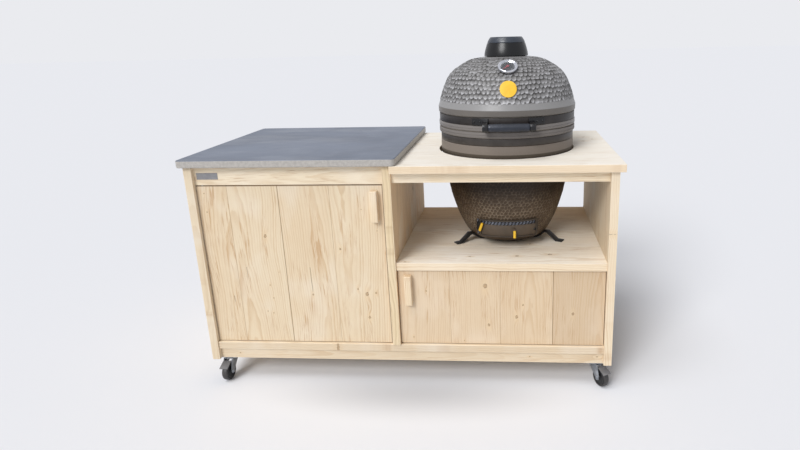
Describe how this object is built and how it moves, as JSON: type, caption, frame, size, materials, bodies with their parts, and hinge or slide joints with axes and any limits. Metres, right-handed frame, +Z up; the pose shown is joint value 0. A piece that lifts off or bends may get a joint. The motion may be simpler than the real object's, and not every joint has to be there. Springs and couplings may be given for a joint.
{
  "type": "kamado grill table",
  "caption": "Ceramic kamado grill with a hinged dome, set in a wheeled wooden table with a stone worktop, two cupboards and an open shelf bay.",
  "frame": {"origin": "on the floor, under the centre of the whole table's bounding box", "axes": "+X to the right seen from the front, +Y to the back, +Z up"},
  "size_m": [1.636, 0.8, 1.338],
  "materials": {
    "spruce": "matte",
    "pale_spruce": "matte",
    "stone": "satin",
    "glaze": "satin",
    "dark_glaze": "satin",
    "fireclay": "matte",
    "band_steel": "satin",
    "black_steel": "satin",
    "grate_steel": "satin",
    "cast_iron": "satin",
    "felt": "matte",
    "chrome": "polished",
    "pointer_red": "satin",
    "black_plastic": "matte",
    "zinc": "satin",
    "tyre": "matte"
  },
  "bodies": {
    "table": {"left_side_panel": "spruce", "right_side_panel": "spruce", "divider_panel": "spruce", "left_bottom_board": "spruce", "right_bottom_board": "spruce", "front_plinth": "spruce", "left_runner": "spruce", "right_runner": "spruce", "left_top_rail": "spruce", "right_top_rail": "spruce", "right_back_rail": "spruce", "left_back_panel": "spruce", "right_back_panel": "spruce", "kamado_shelf": "pale_spruce", "wood_top": "pale_spruce", "stone_top": "stone", "left_door_catch": "black_plastic", "right_door_catch": "black_plastic", "left_door_pivot_rod": "zinc", "right_door_pivot_rod": "zinc", "caster_front_left_plate": "zinc", "caster_front_right_plate": "zinc", "caster_back_left_plate": "zinc", "caster_back_right_plate": "zinc"},
    "left_door": {"left_door": "spruce", "left_door_pull": "spruce"},
    "right_door": {"right_door": "spruce", "right_door_pull": "spruce"},
    "kamado": {"grill_stand": "black_steel", "bowl": "dark_glaze", "lower_band": "band_steel", "gasket": "felt", "draft_frame": "band_steel", "firebox": "fireclay", "fire_ring": "fireclay", "hinge_base": "black_steel"},
    "draft_slider": {"draft_slider": "band_steel"},
    "draft_screen": {"draft_screen": "grate_steel"},
    "charcoal_grate": {"charcoal_grate": "cast_iron"},
    "cooking_grate": {"cooking_grate": "grate_steel"},
    "dome": {"dome": "glaze", "upper_band": "band_steel", "hinge_arm": "black_steel", "thermometer": "chrome", "vent_body": "cast_iron", "handle_grip": "black_plastic", "handle_bracket_right": "black_steel", "handle_bracket_left": "black_steel"},
    "thermometer_pointer": {"thermometer_pointer": "pointer_red"},
    "vent_lid": {"vent_lid": "cast_iron"},
    "caster_front_left_fork": {"caster_front_left_fork": "zinc"},
    "caster_front_left_wheel": {"caster_front_left_wheel": "tyre"},
    "caster_front_left_pedal": {"caster_front_left_pedal": "black_plastic"},
    "caster_front_right_fork": {"caster_front_right_fork": "zinc"},
    "caster_front_right_wheel": {"caster_front_right_wheel": "tyre"},
    "caster_front_right_pedal": {"caster_front_right_pedal": "black_plastic"},
    "caster_back_left_fork": {"caster_back_left_fork": "zinc"},
    "caster_back_left_wheel": {"caster_back_left_wheel": "tyre"},
    "caster_back_right_fork": {"caster_back_right_fork": "zinc"},
    "caster_back_right_wheel": {"caster_back_right_wheel": "tyre"}
  },
  "joints": [
    {"name": "left_door_hinge", "type": "hinge", "parent": "table", "child": "left_door", "pos_m": [-0.7475, -0.354, 0.5], "axis": [0, 0, -1], "range_deg": [0, 105]},
    {"name": "right_door_hinge", "type": "hinge", "parent": "table", "child": "right_door", "pos_m": [0.7475, -0.354, 0.333], "axis": [0, 0, 1], "range_deg": [0, 105]},
    {"name": "kamado_lift", "type": "slide", "parent": "table", "child": "kamado", "axis": [0, 0, 1], "range_m": [0, 0.42]},
    {"name": "draft_slider_slide", "type": "hinge", "parent": "kamado", "child": "draft_slider", "pos_m": [0.398, -0.013, 0.608], "axis": [0, 0, 1], "range_deg": [0, 60]},
    {"name": "draft_screen_slide", "type": "hinge", "parent": "kamado", "child": "draft_screen", "pos_m": [0.398, -0.013, 0.608], "axis": [0, 0, -1], "range_deg": [0, 60]},
    {"name": "charcoal_grate_lift", "type": "slide", "parent": "kamado", "child": "charcoal_grate", "axis": [0, 0, 1], "range_m": [0, 0.32]},
    {"name": "cooking_grate_lift", "type": "slide", "parent": "kamado", "child": "cooking_grate", "axis": [0, 0, 1], "range_m": [0, 0.13]},
    {"name": "dome_hinge", "type": "hinge", "parent": "kamado", "child": "dome", "pos_m": [0.38697, 0.30281, 1], "axis": [-0.9994, -0.0349, 0], "range_deg": [0, 80], "stiffness_Nm_per_rad": 69.6, "springref_deg": 64},
    {"name": "thermometer_pointer_turn", "type": "hinge", "parent": "dome", "child": "thermometer_pointer", "pos_m": [0.40501, -0.21381, 1.23373], "axis": [-0.0196, 0.5623, -0.8267], "range_deg": [0, 270]},
    {"name": "vent_lid_turn", "type": "hinge", "parent": "dome", "child": "vent_lid", "pos_m": [0.398, -0.013, 1.32], "axis": [0, 0, 1], "continuous": true},
    {"name": "front_left_swivel", "type": "hinge", "parent": "table", "child": "caster_front_left_fork", "pos_m": [-0.75, -0.33, 0.095], "axis": [0, 0, 1], "continuous": true},
    {"name": "front_left_roll", "type": "hinge", "parent": "caster_front_left_fork", "child": "caster_front_left_wheel", "pos_m": [-0.75105, -0.35998, 0.0375], "axis": [0.9994, -0.0349, 0], "continuous": true},
    {"name": "front_left_brake", "type": "hinge", "parent": "caster_front_left_fork", "child": "caster_front_left_pedal", "pos_m": [-0.75042, -0.34199, 0.082], "axis": [-0.9994, 0.0349, 0], "range_deg": [0, 14]},
    {"name": "front_right_swivel", "type": "hinge", "parent": "table", "child": "caster_front_right_fork", "pos_m": [0.75, -0.33, 0.095], "axis": [0, 0, 1], "continuous": true},
    {"name": "front_right_roll", "type": "hinge", "parent": "caster_front_right_fork", "child": "caster_front_right_wheel", "pos_m": [0.765, -0.35598, 0.0375], "axis": [0.866, 0.5, 0], "continuous": true},
    {"name": "front_right_brake", "type": "hinge", "parent": "caster_front_right_fork", "child": "caster_front_right_pedal", "pos_m": [0.756, -0.34039, 0.082], "axis": [-0.866, -0.5, 0], "range_deg": [0, 14]},
    {"name": "back_left_swivel", "type": "hinge", "parent": "table", "child": "caster_back_left_fork", "pos_m": [-0.75, 0.33, 0.095], "axis": [0, 0, 1], "continuous": true},
    {"name": "back_left_roll", "type": "hinge", "parent": "caster_back_left_fork", "child": "caster_back_left_wheel", "pos_m": [-0.74224, 0.30102, 0.0375], "axis": [0.9659, 0.2588, 0], "continuous": true},
    {"name": "back_right_swivel", "type": "hinge", "parent": "table", "child": "caster_back_right_fork", "pos_m": [0.75, 0.33, 0.095], "axis": [0, 0, 1], "continuous": true},
    {"name": "back_right_roll", "type": "hinge", "parent": "caster_back_right_fork", "child": "caster_back_right_wheel", "pos_m": [0.73974, 0.30181, 0.0375], "axis": [0.9397, -0.342, 0], "continuous": true}
  ]
}
